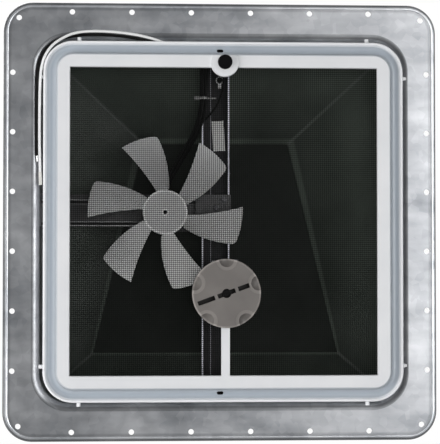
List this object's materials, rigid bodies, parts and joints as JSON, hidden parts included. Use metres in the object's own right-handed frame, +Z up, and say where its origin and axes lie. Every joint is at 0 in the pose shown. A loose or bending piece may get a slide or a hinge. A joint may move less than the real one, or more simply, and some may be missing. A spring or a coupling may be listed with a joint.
{
  "type": "roof vent fan",
  "caption": "Square roof vent for a caravan: flanged collar, insect screen, motor fan on an arm, push switch, and a crank knob that lifts the hinged domed lid.",
  "frame": {"origin": "centre of the flange's underside, in the roof plane", "axes": "+Z up out of the roof to the lid, +Y to the lid's hinge side, -Z into the room"},
  "size_m": [0.46, 0.464, 0.1332],
  "materials": {
    "galvanised_steel": "cloudy galvanised sheet",
    "white_plastic": "white moulded, satin gloss",
    "screen_mesh": "dark woven mesh",
    "black_rubber": "matt",
    "black_plastic": "satin",
    "bright_steel": "zinc plated",
    "channel_steel": "dark galvanised steel in shade",
    "motor_steel": "black zinc plate",
    "bronze": "sintered",
    "magnet_iron": "matt",
    "fan_plastic": "white moulded",
    "knob_plastic": "warm grey moulded, fine grain",
    "gear_plastic": "natural acetal",
    "smoke_lid": "dark smoke moulded",
    "black_sleeve": "wire insulation",
    "white_sleeve": "wire insulation",
    "tie_nylon": "natural nylon",
    "tag_paper": "blank label stock"
  },
  "bodies": {
    "base": {"roof_flange": "galvanised_steel", "screen_frame": "white_plastic", "insect_screen": "screen_mesh", "screen_bead": "black_rubber", "switch_body": "black_plastic", "switch_nut": "bright_steel", "cross_channel": "channel_steel", "channel_rivets": "bright_steel", "motor_arm": "channel_steel", "arm_rivets": "motor_steel", "motor_can": "motor_steel", "motor_cap": "black_plastic", "motor_bushes": "bronze", "motor_magnets": "magnet_iron", "motor_screws": "bright_steel", "crank_bush": "gear_plastic", "gear_bracket": "channel_steel", "bracket_rivets": "bright_steel", "pivot_pin": "bright_steel", "pivot_clip": "bright_steel", "hinge_brackets": "galvanised_steel", "hinge_pins": "bright_steel", "hinge_rivets": "bright_steel", "lead_clip": "black_plastic", "motor_cable": "black_sleeve", "switch_lead": "black_sleeve", "cable_tie": "tie_nylon", "ring_terminal": "bright_steel", "ground_screw": "bright_steel", "blank_tag": "tag_paper", "white_lead": "white_sleeve", "black_lead": "black_sleeve", "white_lead_end": "tie_nylon", "black_lead_end": "bright_steel"},
    "lid": {"lid_shell": "smoke_lid", "lid_seal": "black_rubber", "lid_track": "channel_steel", "track_rivets": "bright_steel", "hinge_leaves": "galvanised_steel", "leaf_rivets": "bright_steel"},
    "lift": {"lift_arm": "bright_steel", "lift_roller": "gear_plastic", "roller_pin": "bright_steel"},
    "crank": {"crank_knob": "knob_plastic", "knob_screw": "motor_steel", "crank_shaft": "bright_steel", "crank_worm": "gear_plastic", "shaft_clip": "bright_steel"},
    "fan": {"fan_impeller": "fan_plastic", "fan_retainer": "bright_steel", "motor_shaft": "bright_steel", "motor_rotor": "magnet_iron"},
    "button": {"switch_button": "black_plastic"}
  },
  "joints": [
    {"name": "lid_hinge", "type": "hinge", "parent": "base", "child": "lid", "pos_m": [0, 0.21, 0.058], "axis": [-1, 0, 0], "range_deg": [0, 45]},
    {"name": "lift_arm_swing", "type": "hinge", "parent": "base", "child": "lift", "pos_m": [0.0042, 0.055, 0.0625], "axis": [-1, 0, 0], "range_deg": [0, 90]},
    {"name": "crank_turn", "type": "hinge", "parent": "base", "child": "crank", "pos_m": [0.0042, 0.0755, 0], "axis": [0, 0, 1], "range_deg": [0, 2700]},
    {"name": "fan_spin", "type": "hinge", "parent": "base", "child": "fan", "pos_m": [-0.059, -0.01, 0.013], "axis": [0, 0, 1], "continuous": true},
    {"name": "button_press", "type": "slide", "parent": "base", "child": "button", "axis": [0, 0, 1], "range_m": [0, 0.0025], "stiffness_N_per_m": 400, "springref_m": -0.001}
  ],
  "couplings": [
    {"joint": "lift_arm_swing", "follows": "lid_hinge", "ratio": 2},
    {"joint": "crank_turn", "follows": "lid_hinge", "ratio": 60}
  ]
}
